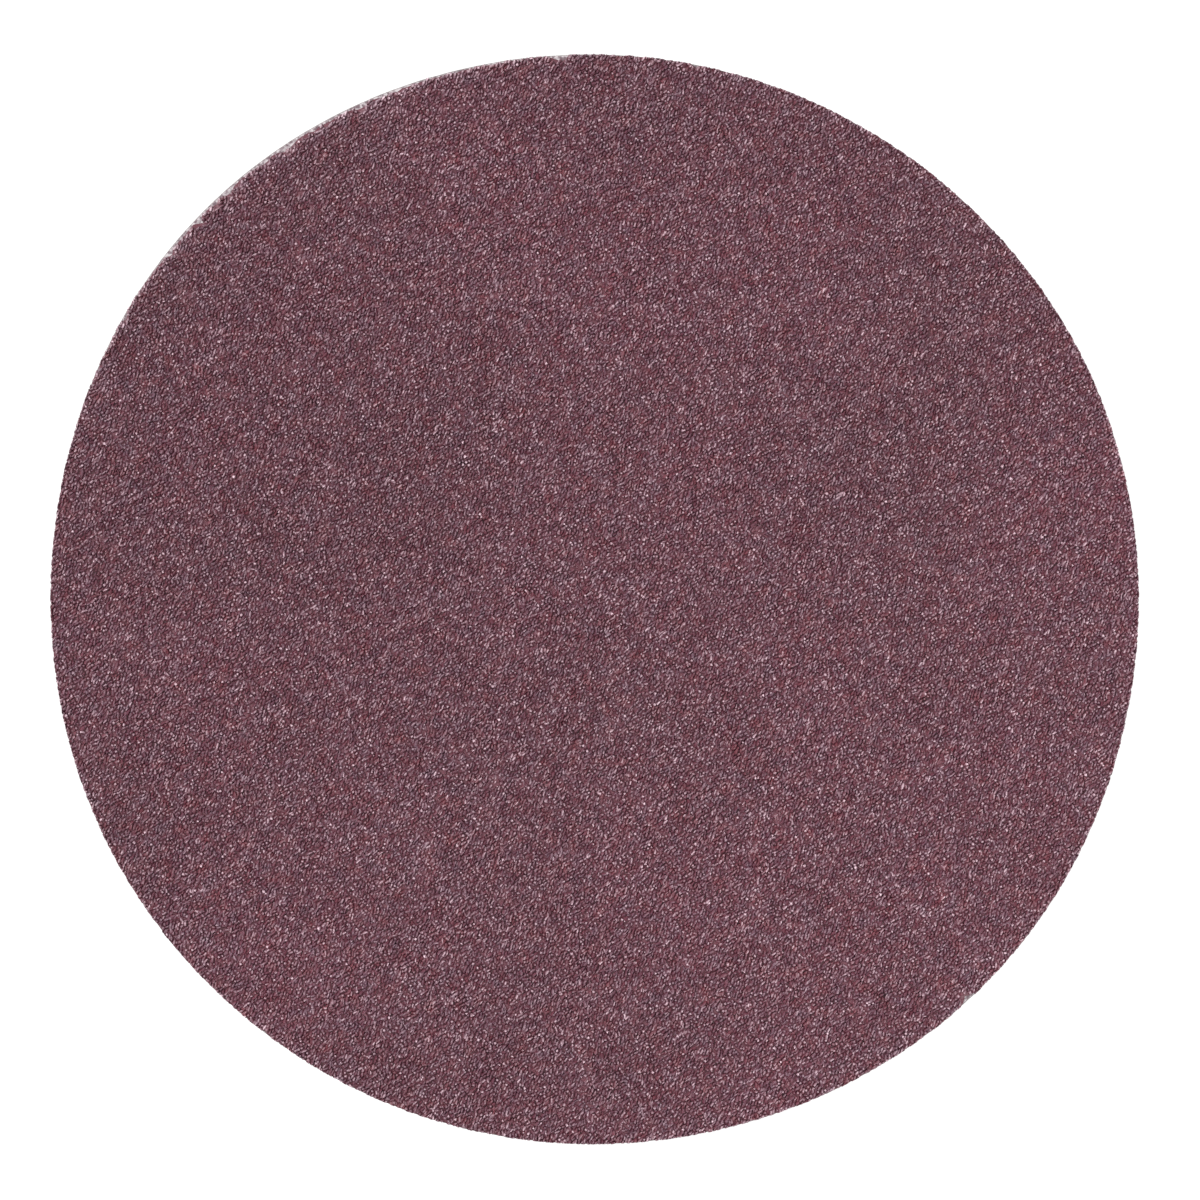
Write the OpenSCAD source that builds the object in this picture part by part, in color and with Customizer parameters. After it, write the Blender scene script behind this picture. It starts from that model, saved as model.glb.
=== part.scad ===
// Quick-change sanding disc: an abrasive cloth disc with a twist-lock button bonded to its back.
// It lies grain side up on the button's flat end, which is at z = 0, and its spin axis is Z.

/* [Abrasive cloth] */
// Diameter of the cloth disc
disc_d = 50; // [38:1:76]
// Thickness of the cloth
cloth_t = 0.7; // [0.4:0.05:1.2]
// Corner rounded off the cloth's back edge by the die
cloth_edge_r = 0.15; // [0.05:0.05:0.2]
// Thickness of the grain and its resin
coat_t = 0.4; // [0.2:0.05:1]
// How far the grain stops short of the cut edge of the cloth
coat_setback = 0.1; // [0:0.05:0.5]
// Slope of the grain's broken edge, measured across its thickness
coat_edge_slope = 0.1; // [0.05:0.05:0.4]

/* [Adhesive] */
// Thickness of the adhesive between cloth and button
film_t = 0.25; // [0.1:0.05:0.5]
// Depth that the adhesive soaks into the cloth
soak_t = 0.1; // [0.05:0.05:0.2]
// Radius of the round bead squeezed out against the cloth along the flange rim
bead_r = 0.7; // [0.6:0.1:1]

/* [Button flange] */
// Diameter of the flange that is bonded to the cloth
flange_d = 22; // [20:0.5:30]
// Thickness of the flange at its rim
rim_t = 0.8; // [0.7:0.1:1.2]
// Thickness of the flange at the boss
flange_t = 1.4; // [1.3:0.1:2.5]
// Width of the margin over which the flange thins to its rim
taper_w = 3; // [1:0.5:3.5]
// Fillet between the flange and the boss
root_fillet_r = 0.4; // [0.2:0.1:0.6]

/* [Button boss] */
// Diameter of the boss at the root of the thread
boss_d = 12.8; // [12:0.2:14]
// Height of the boss from the flange to its flat end
boss_h = 6.5; // [6:0.1:9]
// Chamfer round the end of the boss
end_chamfer = 0.4; // [0.2:0.1:0.8]

/* [Thread] */
// Number of thread starts
starts = 2; // [1:1:3]
// Diameter over the thread crests
crest_d = 15.6; // [14.8:0.2:17]
// Advance of one start in a full turn
lead = 6.4; // [6:0.2:9]
// Width of a ridge at the root of the thread
ridge_root_w = 2; // [1.6:0.1:2.2]
// Width of a ridge at its crest, before its corners are taken off
ridge_crest_w = 1; // [0.7:0.1:1.3]
// Room left between a ridge and each end of the boss
ridge_end_room = 0.4; // [0.3:0.05:0.7]
// Angle over which a ridge rises at either end
run_out_angle = 24; // [10:2:40]
// Size of the corners taken off the crest
crest_corner = 0.25; // [0.1:0.05:0.25]

/* [Core] */
// Diameter of the cored hollow at its mouth
core_d = 9.2; // [7:0.2:10]
// Diameter that the hollow loses from its mouth to its floor
core_draft = 0.3; // [0:0.1:0.6]
// Thickness left between the hollow's floor and the adhesive
core_floor_t = 1.9; // [1.2:0.1:3]
// Radius round the hollow's floor
core_floor_r = 0.6; // [0.2:0.1:1]
// Diameter of the gate pip on the hollow's floor
gate_d = 1.6; // [1:0.1:3]
// Height of the gate pip
gate_h = 0.25; // [0.1:0.05:0.5]

/* [Hidden] */
$fn = 96;

// Heights of the joints between the pieces, from the button's end upwards
button_h = boss_h + flange_t;
cloth_z = button_h + film_t;
coat_z = cloth_z + cloth_t;

disc_r = disc_d / 2;
flange_r = flange_d / 2;
boss_r = boss_d / 2;
crest_r = crest_d / 2;
core_r = core_d / 2;
coat_r = disc_r - coat_setback;
glued_r = flange_r + bead_r;

// The hollow's floor is below the flange's bonded face
core_depth = button_h - core_floor_t;
core_floor_radius = core_r - core_draft / 2;

// Extra length that a cutting shape has past the face it cuts
cut_past = 1;

// A ridge turns as far as the boss has room for its height
ridge_steps = 60;
ridge_rise = boss_h - ridge_root_w - 2 * ridge_end_room;
ridge_turn = 360 * ridge_rise / lead;
ridge_bottom_z = ridge_end_room + ridge_root_w / 2;
// The ridge is sunk into the boss, so that the two join without a seam
ridge_sink = 0.4;
ridge_base_r = boss_r - ridge_sink;
// Share of its height that a ridge has at its very ends, where it is still inside the boss
end_share = 0.1;

// How much of its full height the ridge has at an angle along it: it rises and falls as a quarter wave
function ridge_share(angle) =
    let (from_end = min(angle, ridge_turn - angle, run_out_angle))
    max(end_share, sin(90 * from_end / run_out_angle));

// Half of the ridge's width at a radius, from the slope between its root and its crest
function ridge_half_w(radius) =
    ridge_root_w / 2
    - (ridge_root_w - ridge_crest_w) / 2 * (radius - boss_r) / (crest_r - boss_r);

// Radius and half width at the base, the shoulder and the crest of one flank
flank = [
    [ridge_base_r, ridge_half_w(ridge_base_r)],
    [crest_r - crest_corner, ridge_half_w(crest_r - crest_corner)],
    [crest_r, ridge_half_w(crest_r) - crest_corner]
];

// The whole section, up the lower flank and down the upper one
ridge_section = [
    for (corner = flank) [corner[0], -corner[1]],
    for (i = [len(flank) - 1 : -1 : 0]) flank[i]
];

// The section where it has turned through an angle along a right-hand helix
function ridge_ring(angle) =
    [
        for (corner = ridge_section)
            let (radius = ridge_base_r + (corner[0] - ridge_base_r) * ridge_share(angle))
            [
                radius * cos(angle),
                radius * sin(angle),
                ridge_bottom_z + lead * angle / 360 + corner[1]
            ]
    ];

// Skin of a strip of rings with corner_count points each, closed at both ends
function strip_faces(ring_count, corner_count) =
    let (last = (ring_count - 1) * corner_count)
    concat(
        [[for (c = [corner_count - 1 : -1 : 0]) c]],
        [
            for (r = [0 : ring_count - 2], c = [0 : corner_count - 1])
                let (
                    near = r * corner_count + c,
                    beside = r * corner_count + (c + 1) % corner_count,
                    far = near + corner_count,
                    across = beside + corner_count
                )
                each [[near, beside, across], [near, across, far]]
        ],
        [[for (c = [0 : corner_count - 1]) last + c]]
    );

module thread_ridge() {
    rings = [for (i = [0 : ridge_steps]) ridge_ring(ridge_turn * i / ridge_steps)];
    polyhedron(
        points = [for (ring = rings, point = ring) point],
        faces = strip_faces(ridge_steps + 1, len(ridge_section)),
        convexity = 6
    );
}

module thread() {
    for (start = [0 : starts - 1])
        rotate(360 * start / starts)
        thread_ridge();
}

// Half section of the flange and boss, turned about the spin axis
module button_section() {
    // Boss with its chamfered end
    polygon([
        [0, 0],
        [boss_r - end_chamfer, 0],
        [boss_r, end_chamfer],
        [boss_r, boss_h],
        [0, boss_h]
    ]);
    // Flange that thins towards its rim
    polygon([
        [0, boss_h],
        [flange_r - taper_w, boss_h],
        [flange_r, button_h - rim_t],
        [flange_r, button_h],
        [0, button_h]
    ]);
    // Fillet in the corner below the flange
    difference() {
        translate([boss_r - cut_past, boss_h - root_fillet_r])
        square([root_fillet_r + cut_past, root_fillet_r]);
        translate([boss_r + root_fillet_r, boss_h - root_fillet_r])
        circle(r = root_fillet_r);
    }
}

// Half section of the hollow that is cored into the boss, with its draft and rounded floor
module core_section() {
    floor_corner_z = core_depth - core_floor_r;
    polygon([
        [0, -cut_past],
        [core_r, -cut_past],
        [core_r, 0],
        [core_floor_radius, floor_corner_z],
        [0, floor_corner_z]
    ]);
    square([core_floor_radius - core_floor_r, core_depth]);
    intersection() {
        translate([core_floor_radius - core_floor_r, floor_corner_z])
        circle(r = core_floor_r);
        square([core_floor_radius, core_depth]);
    }
}

module twist_button() {
    color("#2b2b2d") {
        difference() {
            union() {
                rotate_extrude()
                button_section();
                thread();
            }
            rotate_extrude()
            core_section();
        }
        translate([0, 0, core_depth - gate_h])
        cylinder(d = gate_d, h = gate_h + cut_past / 2);
    }
}

// Half section of the cloth that the adhesive has soaked
module soaked_section() {
    translate([0, cloth_z])
    square([glued_r, soak_t]);
}

// The film under the flange, the bead round it and what has soaked in are one run of adhesive
module button_adhesive() {
    color("#d8c9a3")
    rotate_extrude() {
        translate([0, button_h])
        square([flange_r, film_t]);
        intersection() {
            translate([flange_r, cloth_z])
            circle(r = bead_r);
            translate([flange_r, cloth_z - bead_r])
            square(bead_r);
        }
        soaked_section();
    }
}

module cloth_backing() {
    color("#cdbfb4")
    rotate_extrude()
    difference() {
        union() {
            translate([0, cloth_z])
            square([disc_r - cloth_edge_r, cloth_t]);
            translate([0, cloth_z + cloth_edge_r])
            square([disc_r, cloth_t - cloth_edge_r]);
            translate([disc_r - cloth_edge_r, cloth_z + cloth_edge_r])
            circle(r = cloth_edge_r);
        }
        soaked_section();
    }
}

module grain_coat() {
    color("#704f58")
    translate([0, 0, coat_z])
    rotate_extrude()
    polygon([
        [0, 0],
        [coat_r, 0],
        [coat_r - coat_edge_slope, coat_t],
        [0, coat_t]
    ]);
}

twist_button();
button_adhesive();
cloth_backing();
grain_coat();
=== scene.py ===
import math

import bpy
import numpy as np
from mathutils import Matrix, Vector


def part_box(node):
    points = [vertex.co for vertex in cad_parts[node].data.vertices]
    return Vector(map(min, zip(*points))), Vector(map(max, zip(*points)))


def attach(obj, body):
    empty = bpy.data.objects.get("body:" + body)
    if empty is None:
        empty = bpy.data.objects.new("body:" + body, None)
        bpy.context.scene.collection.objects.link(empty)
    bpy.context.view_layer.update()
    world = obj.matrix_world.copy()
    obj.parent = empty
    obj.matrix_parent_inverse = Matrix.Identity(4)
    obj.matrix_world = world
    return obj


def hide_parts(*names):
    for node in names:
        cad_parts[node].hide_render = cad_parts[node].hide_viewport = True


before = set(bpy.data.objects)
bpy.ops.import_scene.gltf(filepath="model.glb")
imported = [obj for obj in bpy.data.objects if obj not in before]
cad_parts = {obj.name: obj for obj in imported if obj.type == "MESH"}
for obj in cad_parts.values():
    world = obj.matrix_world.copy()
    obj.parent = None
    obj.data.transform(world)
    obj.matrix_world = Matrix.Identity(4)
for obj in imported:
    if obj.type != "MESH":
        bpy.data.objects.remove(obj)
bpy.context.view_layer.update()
mm = 0.001

# heights and radii that every piece is fitted to, read off the frame
coatLow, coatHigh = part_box("grain_coat")
clothLow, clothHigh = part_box("cloth_backing")
glueLow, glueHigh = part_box("button_adhesive")
buttonLow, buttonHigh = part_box("twist_button")
clothRadius = clothHigh[0]
coatFoot = coatLow[2]
coatTop = coatHigh[2]
coatDepth = coatTop - coatFoot


# camera, straight above as in the photograph

photo = {
    "size": 1200,             # pixels each way
    "discCentre": (593.75, 598.97),
    "discRadius": 546.5,
    "lens": 150,
    "sensor": 36,
}


def addCamera():
    metresPerPixel = clothRadius / photo["discRadius"]
    width = photo["size"] * metresPerPixel
    data = bpy.data.cameras.new("photo_camera")
    data.lens = photo["lens"]
    data.sensor_width = photo["sensor"]
    data.clip_start, data.clip_end = 0.01, 10
    camera = bpy.data.objects.new("photo_camera", data)
    bpy.context.collection.objects.link(camera)
    distance = width * data.lens / data.sensor_width
    middle = photo["size"] / 2
    across = (middle - photo["discCentre"][0]) * metresPerPixel
    up = (photo["discCentre"][1] - middle) * metresPerPixel
    camera.location = (across, up, coatTop + distance)
    bpy.context.scene.camera = camera
    return camera


# node helpers

def newMaterial(name):
    material = bpy.data.materials.new(name)
    material.use_nodes = True
    tree = material.node_tree
    return material, tree, tree.nodes["Principled BSDF"]


def addNode(tree, kind, **values):
    node = tree.nodes.new(kind)
    for name, value in values.items():
        setattr(node, name, value)
    return node


def feed(tree, socket, value):
    if isinstance(value, bpy.types.NodeSocket):
        tree.links.new(value, socket)
    elif value is not None:
        socket.default_value = value


def sums(tree, operation, *values):
    node = addNode(tree, "ShaderNodeMath", operation=operation)
    for socket, value in zip(node.inputs, values):
        feed(tree, socket, value)
    return node.outputs[0]


def stretch(tree, value, fromLow, fromHigh, toLow, toHigh):
    node = addNode(tree, "ShaderNodeMapRange", clamp=True)
    feed(tree, node.inputs["Value"], value)
    for name, number in (("From Min", fromLow), ("From Max", fromHigh), ("To Min", toLow), ("To Max", toHigh)):
        feed(tree, node.inputs[name], number)
    return node.outputs["Result"]


def place(tree):
    return addNode(tree, "ShaderNodeTexCoord").outputs["Object"]


def noise(tree, size, detail=2.0, rough=0.5, vector=None):  # size is the width of one blotch, in metres
    node = addNode(tree, "ShaderNodeTexNoise")
    feed(tree, node.inputs["Vector"], vector or place(tree))
    node.inputs["Scale"].default_value = 1 / size
    node.inputs["Detail"].default_value = detail
    node.inputs["Roughness"].default_value = rough
    return node.outputs["Fac"]


def ramp(tree, value, stops):
    node = addNode(tree, "ShaderNodeValToRGB")
    feed(tree, node.inputs["Fac"], value)
    elements = node.color_ramp.elements
    while len(elements) < len(stops):
        elements.new(1.0)
    for element, (position, colour) in zip(elements, stops):
        element.position = position
        element.color = (*colour, 1)
    return node.outputs["Color"]


def blendColours(tree, factor, first, second, kind="MIX"):
    node = addNode(tree, "ShaderNodeMix", data_type="RGBA", blend_type=kind)
    feed(tree, node.inputs[0], factor)
    for socket, value in ((node.inputs[6], first), (node.inputs[7], second)):
        feed(tree, socket, (*value, 1) if isinstance(value, tuple) else value)
    return node.outputs[2]


def bump(tree, height, depth, strength=1.0, normal=None):  # depth is what a height of 1 stands for, in metres
    node = addNode(tree, "ShaderNodeBump")
    feed(tree, node.inputs["Height"], height)
    node.inputs["Distance"].default_value = depth
    node.inputs["Strength"].default_value = strength
    if normal is not None:
        feed(tree, node.inputs["Normal"], normal)
    return node.outputs["Normal"]


def fromScreen(*levels):  # a colour as it looks on screen, 0 to 255, as light levels
    return tuple(
        level / 255 / 12.92 if level / 255 <= 0.04045 else ((level / 255 + 0.055) / 1.055) ** 2.4
        for level in levels
    )


# mesh helpers

def addPiece(name, points, triangles, material, flat=None, smooth=False, paleTipAndHighlight=None):
    mesh = bpy.data.meshes.new(name)
    mesh.vertices.add(len(points))
    mesh.vertices.foreach_set("co", np.asarray(points, dtype=np.float32).ravel())
    mesh.loops.add(triangles.size)
    mesh.loops.foreach_set("vertex_index", triangles.astype(np.int32).ravel())
    mesh.polygons.add(len(triangles))
    mesh.polygons.foreach_set("loop_start", np.arange(0, triangles.size, 3, dtype=np.int32))
    mesh.update(calc_edges=True)
    mesh.polygons.foreach_set("use_smooth", np.full(len(triangles), smooth))
    if flat is not None:  # where each corner lies on the flat sheet that holds the finish
        layer = mesh.uv_layers.new(name="OFBake")
        layer.data.foreach_set("uv", np.asarray(flat, dtype=np.float32).ravel())
    if paleTipAndHighlight is not None:  # how thin the resin is at each corner, 1 where the crystal shows through, with a painted highlight added on the crowns
        mesh.attributes.new("paleTipAndHighlight", "FLOAT", "POINT").data.foreach_set("value", paleTipAndHighlight.astype(np.float32))
    mesh.materials.append(material)
    piece = bpy.data.objects.new(name, mesh)
    bpy.context.collection.objects.link(piece)
    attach(piece, "root")
    print(f"{name}: {len(triangles)} triangles")
    return piece


def spreadFlat(points, triangles):  # seen from above, shrunk to the middle of the sheet
    span = 1 / (2.1 * clothRadius)
    return points[triangles.ravel(), :2] * span + 0.5


def ripple(angle, waves):  # a sum of (how many round the rim, size, where it peaks in degrees)
    return sum(size * np.cos(count * angle - math.radians(count * peak)) for count, size, peak in waves)


def roughRim(angle, seed, count, size):  # a smooth random edge: values at even angles, joined by cosines
    values = np.random.default_rng(seed).normal(0, size, count)
    at = (angle / (2 * np.pi) % 1) * count
    low = np.floor(at).astype(int)
    share = (1 - np.cos((at - low) * np.pi)) / 2
    return values[low % count] * (1 - share) + values[(low + 1) % count] * share


# outline of the cloth and the grain

rim = {
    "cutWaves": [(2, 0.107, -47), (3, 0.042, 3), (4, 0.055, 43), (6, 0.03, 20)],
    "cutRough": 0.004,
    "setback": 0.008,         # how far the grain stops short of the cut
    "setbackRough": 0.012,
    "wornFrom": 122,          # middle of the stretch with the widest pale rim, in degrees
    "wornSpread": 26,
    "wornSetback": 0.09,
    "wornRough": 0.05,
    "broken": (0.1, 0.55),    # how bare the crystals along the cut are, all round and on the worn stretch
    "brokenDepth": 0.2,
    "chips": [                # angle in degrees, half width and depth in mm
        (93.6, 0.35, 0.14),
        (78.9, 0.25, 0.1),
        (-46.9, 0.25, 0.24),
        (115.4, 0.3, 0.12),
        (124.2, 0.35, 0.2),
        (127.4, 0.5, 0.07),
        (131.9, 0.3, 0.15),
        (136.3, 0.22, 0.19),
        (140.8, 0.3, 0.11),
        (149.0, 0.25, 0.1),
        (233.0, 0.2, 0.07),
    ],
    "chipRough": 0.4,         # share of a chip's depth
}


def clothEdge(angle):
    return clothRadius + mm * (
        ripple(angle, rim["cutWaves"]) + roughRim(angle, 11, 500, rim["cutRough"])
    )


def turnBetween(angle, degrees):
    return (angle - math.radians(degrees) + np.pi) % (2 * np.pi) - np.pi


def wornShare(angle):
    return np.exp(-((turnBetween(angle, rim["wornFrom"]) / math.radians(rim["wornSpread"])) ** 2))


def brokenShare(points):  # the die breaks crystals along the cut, so they show paler
    angle = np.arctan2(points[:, 1], points[:, 0])
    inward = (clothEdge(angle) - np.hypot(points[:, 0], points[:, 1])) / mm
    even, onWorn = rim["broken"]
    return (even + onWorn * wornShare(angle)) * np.exp(-np.maximum(inward, 0) / rim["brokenDepth"])


def grainEdge(angle):
    worn = wornShare(angle)
    setback = rim["setback"] + rim["wornSetback"] * worn
    setback = setback + np.abs(roughRim(angle, 12, 1300, rim["setbackRough"]))
    setback = setback + worn * np.abs(roughRim(angle, 13, 420, rim["wornRough"]))
    ragged = 1 + roughRim(angle, 14, 900, rim["chipRough"])
    for degrees, halfWidth, depth in rim["chips"]:
        across = turnBetween(angle, degrees) * clothRadius / mm / halfWidth
        setback = setback + depth * ragged * np.exp(-(across**4))
    return clothEdge(angle) - mm * setback


def cutLine(angle):  # where the die cuts through resin and grain
    return clothEdge(angle) - mm * rim["setback"]


def grainLimit(angle):  # grain stands up to here, over the cut unless its edge is worn back
    edge = grainEdge(angle)
    worn = np.clip(((clothEdge(angle) - edge) / mm - 0.03) / 0.1, 0, 1)
    return edge + mm * (0.05 - 0.12 * worn)


def discGrid(count):  # a square grid pressed onto a unit disc, with its triangles and its rim in order
    line = np.linspace(-1, 1, count + 1)
    a, b = np.meshgrid(line, line, indexing="ij")
    a, b = a.ravel(), b.ravel()
    wide = np.abs(a) >= np.abs(b)
    with np.errstate(divide="ignore", invalid="ignore"):
        turn = np.where(wide, np.pi / 4 * b / a, np.pi / 2 - np.pi / 4 * a / b)
    reach = np.where(wide, a, b)
    turn = np.where((a == 0) & (b == 0), 0, turn)
    points = np.stack([reach * np.cos(turn), reach * np.sin(turn)], axis=1)
    index = np.arange((count + 1) ** 2).reshape(count + 1, count + 1)
    p, q, r, s = index[:-1, :-1], index[1:, :-1], index[1:, 1:], index[:-1, 1:]
    first = np.stack([p, q, r], axis=-1).reshape(-1, 3)
    second = np.stack([p, r, s], axis=-1).reshape(-1, 3)
    edge = np.concatenate([index[:, 0], index[-1, 1:], index[-2::-1, -1], index[0, -2:0:-1]])
    return points, np.concatenate([first, second]), edge


def smoothBlotches(points, size, seed):  # soft random heights about 1 in size, from a grid of random values
    rng = np.random.default_rng(seed)
    cells = int(2.4 * clothRadius / size) + 3
    values = rng.normal(0, 1, (cells, cells))
    at = (points + 1.2 * clothRadius) / size
    low = np.floor(at).astype(int)
    share = at - low
    share = share * share * (3 - 2 * share)
    x, y = low[:, 0], low[:, 1]
    u, v = share[:, 0], share[:, 1]
    return (
        values[x, y] * (1 - u) * (1 - v) + values[x + 1, y] * u * (1 - v)
        + values[x, y + 1] * (1 - u) * v + values[x + 1, y + 1] * u * v
    )


# resin bed, the skin of wine-red resin that holds the grain

resinBed = {
    "cells": 140,
    "level": 0.42,            # share of the coat's depth
    "waviness": 0.02,         # mm
    "waveSize": 0.5,          # mm
    "dark": fromScreen(100, 51, 62),
    "pale": fromScreen(112, 64, 76),
}


def resinMaterial():
    material, tree, shader = newMaterial("wine_resin")
    blotch = noise(tree, 0.22 * mm, 3)
    colour = ramp(tree, blotch, [(0.35, resinBed["dark"]), (0.7, resinBed["pale"])])
    feed(tree, shader.inputs["Base Color"], colour)
    feed(tree, shader.inputs["Roughness"], stretch(tree, blotch, 0.3, 0.7, 0.3, 0.5))
    grit = noise(tree, 0.07 * mm, 2)
    feed(tree, shader.inputs["Normal"], bump(tree, grit, 0.03 * mm, 0.8))
    return material


def addResinBed():
    points, triangles, edge = discGrid(resinBed["cells"])
    turn = np.arctan2(points[:, 1], points[:, 0])
    plain = np.hypot(points[:, 0], points[:, 1]) * clothRadius
    # only the outer millimetre takes the ragged outline, so the middle keeps an even grid
    inner = clothRadius - 1.2 * mm
    share = np.clip((plain - inner) / (clothRadius - inner), 0, 1)
    edgeHere = grainEdge(turn) - 0.01 * mm
    radius = np.where(plain > inner, inner + (edgeHere - inner) * share, plain)
    flat = np.stack([radius * np.cos(turn), radius * np.sin(turn)], axis=1)
    waves = smoothBlotches(flat, resinBed["waveSize"] * mm, 21) * resinBed["waviness"] * mm
    height = coatFoot + coatDepth * resinBed["level"] + waves * (1 - share)
    top = np.column_stack([flat, height])
    foot = top[edge].copy()
    foot[:, 2] = coatFoot
    allPoints = np.concatenate([top, foot, [[0, 0, coatFoot]]])
    low = len(top) + np.arange(len(edge))
    lowBeside = np.roll(low, -1)
    beside = np.roll(edge, -1)
    centre = np.full(len(edge), len(allPoints) - 1)
    skirt = np.concatenate([
        np.stack([edge, low, beside], axis=1),
        np.stack([beside, low, lowBeside], axis=1),
        np.stack([lowBeside, low, centre], axis=1),
    ])
    whole = np.concatenate([triangles, skirt])
    sheet = spreadFlat(allPoints, whole)
    sheet[-3 * len(skirt):] = 0.01  # the skirt and the glued face are never seen
    piece = addPiece("resin_bed", allPoints, whole, resinMaterial(), sheet, smooth=True)
    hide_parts("grain_coat")


# abrasive grain, every crystal a closed solid of its own standing in the resin

grain = {
    "spacing": 0.175,         # mm between neighbours
    "jitter": 0.15,           # share of the spacing
    "latticeTurn": 17,        # degrees
    "drawnOut": 1.2,          # how much further apart they stand along the ridges than across them
    "sorts": [                # name, share of all grains, width in mm, how high its tip stands in the coat
        ("coarse_grain", 0.25, 0.245, 0.97),
        ("medium_grain", 0.25, 0.23, 0.945),
        ("fine_grain", 0.25, 0.215, 0.92),
        ("smallest_grain", 0.25, 0.2, 0.89),
    ],
    "waist": (0.38, 0.6),     # height of the crystals' waists in the coat
    "ridges": 0.72,           # share of crystals with a ridge, the rest have a three-cornered top
    "ridgeTurn": 62,          # degrees, the direction that ridges lie in more often than not
    "ridgeSpread": 21,
    "crownReach": {2: (0.5, 1.0), 3: (0.3, 0.55)},  # how far the top corners stand out, by their number
}


def grainSpots(rng):
    step = grain["spacing"] * mm
    count = int(clothRadius / step * grain["drawnOut"]) + 3
    i, j = np.meshgrid(np.arange(-count, count + 1), np.arange(-int(count * 1.2), int(count * 1.2) + 1))
    spots = np.stack([(i + 0.5 * (j % 2)).ravel() * step, j.ravel() * step * math.sqrt(3) / 2], axis=1)
    turn = math.radians(grain["latticeTurn"])
    spots = spots @ np.array([[math.cos(turn), math.sin(turn)], [-math.sin(turn), math.cos(turn)]])
    spots = spots + rng.normal(0, grain["jitter"] * step, spots.shape)
    turn = math.radians(grain["ridgeTurn"])
    ahead = np.array([math.cos(turn), math.sin(turn)])
    beside = np.array([-math.sin(turn), math.cos(turn)])
    spots = (np.outer(spots @ ahead * grain["drawnOut"], ahead)
             + np.outer(spots @ beside / grain["drawnOut"], beside))
    angle = np.arctan2(spots[:, 1], spots[:, 0])
    return spots[np.hypot(spots[:, 0], spots[:, 1]) < grainLimit(angle)]


def ringOfCorners(spots, reach, turns, heights):
    return np.stack([
        spots[:, :1] + reach * np.cos(turns), spots[:, 1:] + reach * np.sin(turns), heights,
    ], axis=2)


def growCrystals(spots, corners, crowns, width, tip, rng):
    count = len(spots)
    half = width * mm / 2 * rng.uniform(0.86, 1.14, (count, 1))
    if crowns == 2:
        heading = np.radians(rng.normal(grain["ridgeTurn"], grain["ridgeSpread"], (count, 1)))
    else:
        heading = rng.uniform(0, 2 * np.pi, (count, 1))
    low, high = grain["waist"]
    top = coatFoot + coatDepth * np.minimum(tip * rng.uniform(0.9, 1.04, (count, 1)), 1)
    waistTurn = np.arange(corners) * 360 / corners + rng.normal(0, 40 / corners, (count, corners))
    waistTurn = np.radians(waistTurn)
    waistReach = half * rng.uniform(0.85, 1.15, (count, corners))
    if crowns == 2:  # longer along the ridge
        waistReach = waistReach * (0.66 + 0.86 * np.cos(waistTurn) ** 2)
    waistHeight = coatFoot + coatDepth * rng.uniform(low, high, (count, corners))
    waist = ringOfCorners(spots, waistReach, waistTurn + heading, waistHeight)
    crownTurn = np.radians(np.arange(crowns) * 360 / crowns + rng.normal(0, 12, (count, crowns)))
    crownReach = half * rng.uniform(*grain["crownReach"][crowns], (count, crowns))
    drop = rng.uniform(0, 0.2, (count, crowns)) * coatDepth
    crown = ringOfCorners(spots, crownReach, crownTurn + heading, top - drop)
    lean = rng.normal(0, 0.12, (count, 1, 2)) * half[:, :, None]
    crown[:, :, :2] += lean
    points = np.concatenate([waist, crown], axis=1).reshape(-1, 3)
    if crowns == 2:
        pattern = [[0, 1, 5], [1, 6, 5], [1, 2, 6], [2, 3, 6], [3, 4, 6], [4, 5, 6], [4, 0, 5],
                   [0, 2, 1], [0, 3, 2], [0, 4, 3]]
    else:
        pattern = [[0, 1, 4], [1, 5, 4], [1, 2, 5], [2, 6, 5], [2, 3, 6], [3, 0, 6], [0, 4, 6], [4, 5, 6],
                   [0, 2, 1], [0, 3, 2]]
    size = corners + crowns
    triangles = (np.array(pattern)[None] + size * np.arange(count)[:, None, None]).reshape(-1, 3)
    # the die cuts through whatever stands over the edge
    angle = np.arctan2(points[:, 1], points[:, 0])
    radius = np.hypot(points[:, 0], points[:, 1])
    pull = np.minimum(1, cutLine(angle) / radius)
    points[:, :2] *= pull[:, None]
    # the crowns stand pale: resin thin over the tips, and a painted highlight where the tips catch the key
    # light
    paleTipAndHighlight = np.concatenate([rng.uniform(0, 0.1, (count, corners)), rng.uniform(0.3, 1, (count, crowns))], axis=1)
    paleTipAndHighlight = (paleTipAndHighlight * rng.uniform(0.6, 1.15, (count, 1))).ravel() + brokenShare(points)
    return points, triangles, corners - 2, np.minimum(paleTipAndHighlight, 1.2)


grainLook = {
    "tints": [                # from the reddest resin to the greyest
        (0.22, fromScreen(118, 57, 65)),
        (0.36, fromScreen(110, 60, 70)),
        (0.48, fromScreen(105, 62, 75)),
        (0.6, fromScreen(103, 65, 79)),
        (0.74, fromScreen(98, 67, 82)),
    ],
    "sunken": fromScreen(113, 56, 69),  # low on a crystal, where the resin is thick
    # pale pink of the crowns: the crystal through thin resin, with a painted highlight, and how strongly it is
    # laid on
    "paleTipAndHighlight": fromScreen(228, 197, 207),
    "paleTipAndHighlightShare": 1.1,
    "roughness": (0.36, 0.5),
    "specular": 0.6,
}


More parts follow.
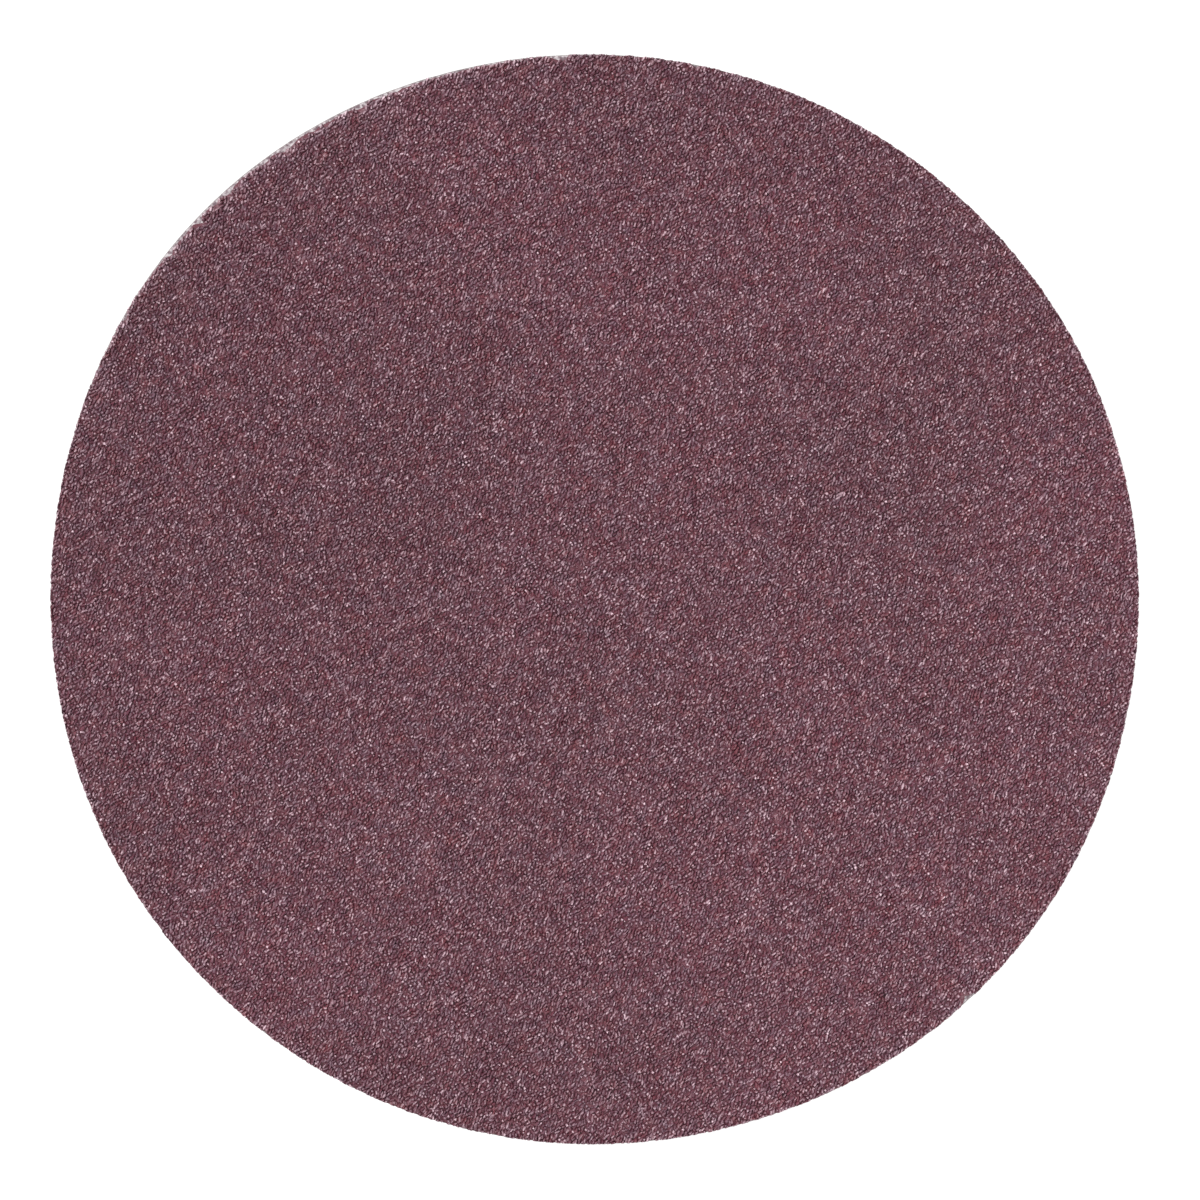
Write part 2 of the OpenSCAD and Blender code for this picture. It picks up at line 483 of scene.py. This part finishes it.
def grainMaterial():
    material, tree, shader = newMaterial("resin_coated_grain")
    island = addNode(tree, "ShaderNodeNewGeometry").outputs["Random Per Island"]
    patch = noise(tree, 0.6 * mm, 1)
    tint = sums(tree, "ADD", sums(tree, "MULTIPLY", island, 0.08), sums(tree, "MULTIPLY", patch, 0.92))
    # pale tips: thin resin over the crystals, and a painted highlight
    paleTipAndHighlight = addNode(tree, "ShaderNodeAttribute", attribute_name="paleTipAndHighlight").outputs["Fac"]
    raised = stretch(tree, paleTipAndHighlight, 0, 0.3, 0, 1)
    colour = blendColours(tree, raised, grainLook["sunken"], ramp(tree, tint, grainLook["tints"]))
    broad = stretch(tree, noise(tree, 11 * mm, 2), 0.3, 0.7, 0.9, 1.1)
    colour = blendColours(tree, 1.0, colour, broad, "MULTIPLY")
    # painted highlight: pale strokes drawn out along the ridges, across the key lamp's direction, laid over the
    # real pale of thin resin on the tips
    strokes = addNode(tree, "ShaderNodeMapping", vector_type="TEXTURE")
    feed(tree, strokes.inputs["Vector"], place(tree))
    strokes.inputs["Rotation"].default_value = (0, 0, math.radians(grain["ridgeTurn"]))
    strokes.inputs["Scale"].default_value = (3, 1, 1)
    drawn = noise(tree, 0.05 * mm, 2, vector=strokes.outputs["Vector"])
    drawn = stretch(tree, drawn, 0.32, 0.62, 0.15, 1.5)
    paleTipAndHighlightMix = sums(tree, "MULTIPLY", sums(tree, "POWER", paleTipAndHighlight, 2.6), grainLook["paleTipAndHighlightShare"])
    paleTipAndHighlightMix = sums(tree, "MINIMUM", sums(tree, "MULTIPLY", paleTipAndHighlightMix, drawn), 1.0)
    colour = blendColours(tree, paleTipAndHighlightMix, colour, grainLook["paleTipAndHighlight"])
    feed(tree, shader.inputs["Base Color"], colour)
    low, high = grainLook["roughness"]
    feed(tree, shader.inputs["Roughness"], stretch(tree, island, 0, 1, low, high))
    shader.inputs["Specular IOR Level"].default_value = grainLook["specular"]
    scratch = noise(tree, 0.06 * mm, 2)
    feed(tree, shader.inputs["Normal"], bump(tree, scratch, 0.04 * mm, 0.7))
    return material


def addGrain():
    rng = np.random.default_rng(31)
    spots = grainSpots(rng)
    shares = [share for _, share, _, _ in grain["sorts"]]
    sort = rng.choice(len(shares), len(spots), p=shares)
    material = grainMaterial()
    for number, (name, _, width, tip) in enumerate(grain["sorts"]):
        mine = spots[sort == number]
        ridged = int(len(mine) * grain["ridges"])
        allPoints, allTriangles, allSheets, allPaleTipAndHighlight = [], [], [], []
        rng.shuffle(mine)
        for group, corners, crowns in ((mine[:ridged], 5, 2), (mine[ridged:], 4, 3)):
            points, triangles, under, paleTipAndHighlight = growCrystals(group, corners, crowns, width, tip, rng)
            allPaleTipAndHighlight.append(paleTipAndHighlight)
            sheet = spreadFlat(points, triangles).reshape(len(group), -1, 3, 2)
            sheet[:, -under:] = 0.01  # the feet are sunk in the resin
            allTriangles.append(triangles + sum(len(p) for p in allPoints))
            allPoints.append(points)
            allSheets.append(sheet.reshape(-1, 2))
        piece = addPiece(name, np.concatenate(allPoints), np.concatenate(allTriangles), material,
                         np.concatenate(allSheets), paleTipAndHighlight=np.concatenate(allPaleTipAndHighlight))


# cloth backing, with its weave modelled on the side that faces the pad

cloth = {
    "yarn": 0.36,             # mm between warp yarns
    "pick": 0.42,             # mm between weft yarns
    "relief": 0.05,           # mm from the top of a yarn to the hole between four
    "backRound": 0.15,        # mm
    # yarn colours from the holes to the yarn tops, darker in the holes as painted shade in the hollows of the
    # weave
    "pale": fromScreen(214, 205, 198),
    "fill": fromScreen(197, 187, 179),
    "dark": fromScreen(166, 153, 144),
    # grey of the cut face, which also reaches up the outer chamfer, seen from above as a painted edge shadow
    "cut": (fromScreen(120, 112, 113), fromScreen(160, 152, 150)),
    "sized": (                # the side under the grain, stained by the resin
        fromScreen(120, 100, 107), fromScreen(214, 206, 208),
    ),
}


def weaveNode(tree):  # 2/1 twill: each weft yarn passes over two warps and under one
    split = addNode(tree, "ShaderNodeSeparateXYZ")
    feed(tree, split.inputs[0], place(tree))
    across = sums(tree, "DIVIDE", split.outputs[0], cloth["yarn"] * mm)
    along = sums(tree, "DIVIDE", split.outputs[1], cloth["pick"] * mm)
    warp = sums(tree, "ABSOLUTE", sums(tree, "SINE", sums(tree, "MULTIPLY", across, math.pi)))
    weft = sums(tree, "ABSOLUTE", sums(tree, "SINE", sums(tree, "MULTIPLY", along, math.pi)))
    step = sums(tree, "ADD", sums(tree, "FLOOR", across), sums(tree, "FLOOR", along))
    warpUp = sums(tree, "LESS_THAN", sums(tree, "FLOORED_MODULO", step, 3.0), 0.5)
    weftUp = sums(tree, "SUBTRACT", 1.0, warpUp)
    warpShare = sums(tree, "MULTIPLY", warp, sums(tree, "MULTIPLY_ADD", warpUp, 0.7, 0.3))
    weftShare = sums(tree, "MULTIPLY", weft, sums(tree, "MULTIPLY_ADD", weftUp, 0.7, 0.3))
    return sums(tree, "MAXIMUM", warpShare, weftShare)


def weaveHeights(i, j):  # the same weave at half-yarn steps, 1 on top of a yarn and 0 in a hole
    onWarp, onWeft = i % 2 == 1, j % 2 == 1
    column, row = i // 2, j // 2
    warpUp = (column + row) % 3 == 0
    warpBefore = (column - 1 + row) % 3 == 0
    heights = np.where(onWarp & onWeft, 1.0, 0.0)
    heights = np.where(~onWarp & onWeft & ~warpUp & ~warpBefore, 0.85, heights)
    heights = np.where(~onWarp & onWeft & (warpUp | warpBefore), 0.35, heights)
    return np.where(onWarp & ~onWeft, 0.3, heights)


def ringGrid(stepX, stepY, inner, outer):
    countX, countY = int(outer / stepX) + 2, int(outer / stepY) + 2
    i, j = np.meshgrid(np.arange(-countX, countX + 1), np.arange(-countY, countY + 1), indexing="ij")
    shape = i.shape
    i, j = i.ravel(), j.ravel()
    x, y = i * stepX, j * stepY
    radius = np.hypot(x, y)
    reach = math.hypot(stepX, stepY) / 2 * 1.001
    onInner = np.abs(radius - inner) < reach
    onOuter = np.abs(radius - outer) < reach
    inside = (radius > inner) & (radius < outer) & ~onInner & ~onOuter
    scale = np.where(onInner, inner, np.where(onOuter, outer, radius)) / np.maximum(radius, 1e-9)
    x, y = x * scale, y * scale
    index = np.arange(len(i)).reshape(shape)
    p, q, r, s = index[:-1, :-1], index[1:, :-1], index[1:, 1:], index[:-1, 1:]
    triangles = np.concatenate([
        np.stack([p, q, r], axis=-1).reshape(-1, 3), np.stack([p, r, s], axis=-1).reshape(-1, 3),
    ])
    kept = (inside | onInner | onOuter)[triangles].all(axis=1) & inside[triangles].any(axis=1)
    return i, j, x, y, triangles[kept], onInner, onOuter


def borderLoop(triangles, chosen, x, y):  # the open edges among the chosen corners, in order of angle
    edges = np.concatenate([triangles[:, [0, 1]], triangles[:, [1, 2]], triangles[:, [2, 0]]])
    key = np.sort(edges, axis=1)
    key = key[:, 0] * (len(x) + 1) + key[:, 1]
    values, counts = np.unique(key, return_counts=True)
    single = np.isin(key, values[counts == 1])
    corners = np.unique(edges[single & chosen[edges].all(axis=1)])
    return corners[np.argsort(np.arctan2(y[corners], x[corners]))]


def clothMaterial():
    material, tree, shader = newMaterial("filled_cloth")
    weave = weaveNode(tree)
    # darker towards the holes between yarns: painted shade in the hollows of the weave
    colour = ramp(tree, weave, [(0.1, cloth["dark"]), (0.5, cloth["fill"]), (0.95, cloth["pale"])])
    stain = stretch(tree, noise(tree, 4 * mm, 3), 0.3, 0.7, 0.92, 1.05)
    colour = blendColours(tree, 1.0, colour, stain, "MULTIPLY")
    split = addNode(tree, "ShaderNodeSeparateXYZ")
    feed(tree, split.inputs[0], place(tree))
    top = clothHigh[2]
    # grey below the top: the cut face's own colour, and on the outer chamfer a painted edge shadow seen from
    # above
    cut = stretch(tree, split.outputs[2], clothLow[2] + 0.1 * mm, clothLow[2] + 0.4 * mm, 0, 1)
    cutEndsAndEdgeShade = ramp(tree, noise(tree, 0.13 * mm, 3), [(0.36, cloth["cut"][0]), (0.62, cloth["cut"][1])])
    colour = blendColours(tree, cut, colour, cutEndsAndEdgeShade)
    sized = stretch(tree, split.outputs[2], top - 0.022 * mm, top - 0.004 * mm, 0, 1)
    fleck = ramp(tree, noise(tree, 0.18 * mm, 3), [(0.4, cloth["sized"][0]), (0.62, cloth["sized"][1])])
    colour = blendColours(tree, sized, colour, fleck)
    feed(tree, shader.inputs["Base Color"], colour)
    shader.inputs["Roughness"].default_value = 0.75
    fibre = noise(tree, 0.05 * mm, 2)
    woven = bump(tree, weave, 0.04 * mm, 0.6)
    feed(tree, shader.inputs["Normal"], bump(tree, fibre, 0.02 * mm, 0.5, woven))
    return material


def addCloth():
    low, high = clothLow[2], clothHigh[2]
    roundness = cloth["backRound"] * mm
    flatReach = clothRadius - 0.5 * mm
    i, j, x, y, triangles, onInner, onOuter = ringGrid(
        cloth["yarn"] * mm / 2, cloth["pick"] * mm / 2, glueHigh[0], flatReach)
    heights = weaveHeights(i, j)
    heights[onInner | onOuter] = 0.5
    z = low + (1 - heights) * cloth["relief"] * mm
    outer = borderLoop(triangles, onOuter, x, y)
    inner = borderLoop(triangles, onInner, x, y)
    points = [np.column_stack([x, y, z])]
    faces = [triangles[:, ::-1]]  # this side looks down
    total = len(x)

    def addRing(ring, newPoints, out):
        nonlocal total
        fresh = total + np.arange(len(ring))
        total += len(ring)
        points.append(newPoints)
        besideOld, besideNew = np.roll(ring, -1), np.roll(fresh, -1)
        first = np.stack([ring, fresh, besideOld], axis=1)
        second = np.stack([besideOld, fresh, besideNew], axis=1)
        both = np.concatenate([first, second])
        faces.append(both if out else both[:, ::-1])
        return fresh

    def addMiddle(ring, height, out):
        nonlocal total
        points.append(np.array([[0, 0, height]]))
        fan = np.stack([ring, np.roll(ring, -1), np.full(len(ring), total)], axis=1)
        total += 1
        faces.append(fan if out else fan[:, ::-1])

    angle = np.arctan2(y[outer], x[outer])
    edge = clothEdge(angle)
    profile = [(-roundness, low + 0.1 * cloth["relief"] * mm)]
    for turn in (30, 60, 90):
        c, s = math.cos(math.radians(turn)), math.sin(math.radians(turn))
        profile.append((-roundness + roundness * s, low + roundness * (1 - c)))
    profile += [(0.0, (low + high) / 2), (0.0, high - 0.07 * mm), (-0.02 * mm, high - 0.03 * mm),
                (-0.05 * mm, high)]
    ring = outer
    for offset, height in profile:
        reach = edge + offset
        ring = addRing(ring, np.column_stack([reach * np.cos(angle), reach * np.sin(angle),
                                              np.full(len(ring), height)]), False)
    ring = addRing(ring, np.column_stack([(clothRadius - 1.5 * mm) * np.cos(angle),
                                          (clothRadius - 1.5 * mm) * np.sin(angle),
                                          np.full(len(ring), high)]), False)
    addMiddle(ring, high, True)
    ring = addRing(inner, np.column_stack([x[inner], y[inner], np.full(len(inner), glueHigh[2])]), True)
    addMiddle(ring, glueHigh[2], False)

    points, faces = np.concatenate(points), np.concatenate(faces)
    used = np.unique(faces)
    renumber = np.zeros(len(points), dtype=int)
    renumber[used] = np.arange(len(used))
    points, faces = points[used], renumber[faces]
    piece = addPiece("woven_cloth", points, faces, clothMaterial(), spreadFlat(points, faces), smooth=True)
    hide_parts("cloth_backing")


# adhesive bead round the button's flange

glue = {
    "corners": 480,
    "waves": 0.05,            # mm, how unevenly it has squeezed out
    "extra": 0.1,             # mm past the even bead
    "colour": fromScreen(206, 182, 132),
    "deep": fromScreen(176, 146, 92),
}


def glueMaterial():
    material, tree, shader = newMaterial("set_adhesive")
    cloud = noise(tree, 1.2 * mm, 3)
    feed(tree, shader.inputs["Base Color"], ramp(tree, cloud, [(0.3, glue["deep"]), (0.7, glue["colour"])]))
    shader.inputs["Roughness"].default_value = 0.22
    shader.inputs["Subsurface Weight"].default_value = 0.25
    shader.inputs["Subsurface Scale"].default_value = 0.4 * mm
    feed(tree, shader.inputs["Normal"], bump(tree, noise(tree, 0.5 * mm, 2), 0.05 * mm, 0.4))
    return material


def addGlue():
    count = glue["corners"]
    angle = np.arange(count) * 2 * np.pi / count
    flange = buttonHigh[0]
    bead = glueHigh[0] - flange
    uneven = roughRim(angle, 41, 60, glue["waves"]) + roughRim(angle, 42, 17, glue["waves"])
    reach = bead + mm * np.maximum(glue["extra"] + uneven, 0.01)
    filmLow = buttonHigh[2]
    sink = clothLow[2] + cloth["relief"] * mm
    rings = [(np.full(count, flange), np.full(count, filmLow))]
    for turn in range(0, 91, 15):
        c, s = math.cos(math.radians(turn)), math.sin(math.radians(turn))
        rings.append((flange + reach * s, clothLow[2] - bead * c))
    rings += [
        (flange + reach, np.full(count, sink)),
        (np.full(count, glueHigh[0]), np.full(count, sink)),
        (np.full(count, glueHigh[0]), np.full(count, glueHigh[2])),
    ]
    points = [np.array([[0, 0, filmLow]])]
    for radius, height in rings:
        heights = np.broadcast_to(height, count)
        points.append(np.column_stack([radius * np.cos(angle), radius * np.sin(angle), heights]))
    points.append(np.array([[0, 0, glueHigh[2]]]))
    points = np.concatenate(points)
    number = np.arange(count)
    beside = np.roll(number, -1)
    faces = [np.stack([np.zeros(count, int), 1 + beside, 1 + number], axis=1)]
    for step in range(len(rings) - 1):
        low, up = 1 + step * count, 1 + (step + 1) * count
        faces.append(np.stack([low + number, low + beside, up + beside], axis=1))
        faces.append(np.stack([low + number, up + beside, up + number], axis=1))
    last = 1 + (len(rings) - 1) * count
    faces.append(np.stack([last + number, last + beside, np.full(count, len(points) - 1)], axis=1))
    faces = np.concatenate(faces)
    piece = addPiece("adhesive_bead", points, faces, glueMaterial(), spreadFlat(points, faces), smooth=True)
    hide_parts("button_adhesive")


# moulded button

nylon = {
    "base": fromScreen(43, 43, 45),
    "worn": fromScreen(54, 54, 57),
    "roughness": (0.36, 0.52),
    "edge": 0.12,             # mm, the radius that light sees on its edges
}


def nylonMaterial():
    material, tree, shader = newMaterial("moulded_nylon")
    flow = noise(tree, 3 * mm, 4)
    feed(tree, shader.inputs["Base Color"], ramp(tree, flow, [(0.35, nylon["base"]), (0.75, nylon["worn"])]))
    low, high = nylon["roughness"]
    feed(tree, shader.inputs["Roughness"], stretch(tree, flow, 0.3, 0.7, low, high))
    soft = addNode(tree, "ShaderNodeBevel", samples=6)
    soft.inputs["Radius"].default_value = nylon["edge"] * mm
    fine = noise(tree, 0.09 * mm, 2)
    feed(tree, shader.inputs["Normal"], bump(tree, fine, 0.008 * mm, 0.5, soft.outputs["Normal"]))
    return material


print("helpers ready")
addCamera()
addResinBed()
addGrain()
addCloth()
addGlue()
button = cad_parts["twist_button"]
button.data.materials.clear()
button.data.materials.append(nylonMaterial())
print("button finished")


# light and floor

light = {
    "skyLevel": 0.5,
    "keyPower": 55,
    "keySize": 1.3,
    "keyTurn": 150,           # degrees, counter-clockwise from the right of the photograph
    "keyHeight": 45,          # degrees above the floor
    "keyDistance": 2.5,
    "fillPower": 0.23,
    "fillSize": 0.18,
    "fillTurn": -30,
    "fillHeight": 40,
    "fillDistance": 0.21,
    "underPower": 28,
    "floorGlow": 0.84,
    "floorShade": 0.26,
    "floorDrop": 0.02,        # mm below the button's end, so that the two faces don't coincide
}


def addLamp(name, power, size, turn, height, distance):
    data = bpy.data.lights.new(name, "AREA")
    data.shape = "DISK"
    data.size = size
    data.energy = power
    lamp = bpy.data.objects.new(name, data)
    bpy.context.collection.objects.link(lamp)
    a, e = math.radians(turn), math.radians(height)
    out = Vector((math.cos(a) * math.cos(e), math.sin(a) * math.cos(e), math.sin(e)))
    lamp.location = Vector((0, 0, coatTop)) + out * distance
    lamp.rotation_euler = out.to_track_quat("Z", "Y").to_euler()


def seenDirectly(tree):  # 1 for what the camera, a mirror or a clear body looks at
    path = addNode(tree, "ShaderNodeLightPath")
    direct = sums(tree, "MAXIMUM", path.outputs["Is Camera Ray"], path.outputs["Is Glossy Ray"])
    return sums(tree, "MAXIMUM", direct, path.outputs["Is Transmission Ray"])


def addSky():
    world = bpy.data.worlds.new("white_studio")
    bpy.context.scene.world = world
    world.use_nodes = True
    tree = world.node_tree
    background = tree.nodes["Background"]
    background.inputs["Color"].default_value = (1, 1, 1, 1)
    level = sums(tree, "MAXIMUM", seenDirectly(tree), light["skyLevel"])
    feed(tree, background.inputs["Strength"], level)


def addFloor():  # solid where it is looked at from above, clear to the light that reaches the back
    mesh = bpy.data.meshes.new("floor")
    reach, low = 1.5, -light["floorDrop"] * mm
    corners = [(-reach, -reach, low), (reach, -reach, low), (reach, reach, low), (-reach, reach, low)]
    mesh.from_pydata(corners, [], [(0, 1, 2, 3)])
    floor = bpy.data.objects.new("floor", mesh)
    bpy.context.collection.objects.link(floor)
    material, tree, shader = newMaterial("white_floor")
    shade = light["floorShade"]
    shader.inputs["Base Color"].default_value = (shade, shade, shade, 1)
    shader.inputs["Roughness"].default_value = 0.9
    shader.inputs["Emission Color"].default_value = (1, 1, 1, 1)
    shader.inputs["Emission Strength"].default_value = light["floorGlow"]
    clear = addNode(tree, "ShaderNodeBsdfTransparent")
    front = sums(tree, "SUBTRACT", 1.0, addNode(tree, "ShaderNodeNewGeometry").outputs["Backfacing"])
    mix = addNode(tree, "ShaderNodeMixShader")
    feed(tree, mix.inputs[0], sums(tree, "MULTIPLY", seenDirectly(tree), front))
    tree.links.new(clear.outputs[0], mix.inputs[1])
    tree.links.new(shader.outputs[0], mix.inputs[2])
    tree.links.new(mix.outputs[0], tree.nodes["Material Output"].inputs["Surface"])
    mesh.materials.append(material)


addSky()
addFloor()
addLamp("key", light["keyPower"], light["keySize"], light["keyTurn"], light["keyHeight"], light["keyDistance"])
addLamp("fill", light["fillPower"], light["fillSize"], light["fillTurn"], light["fillHeight"],
        light["fillDistance"])
addLamp("under", light["underPower"], light["keySize"], 140, -40, light["keyDistance"])
scene = bpy.context.scene
scene.view_settings.view_transform = "Standard"
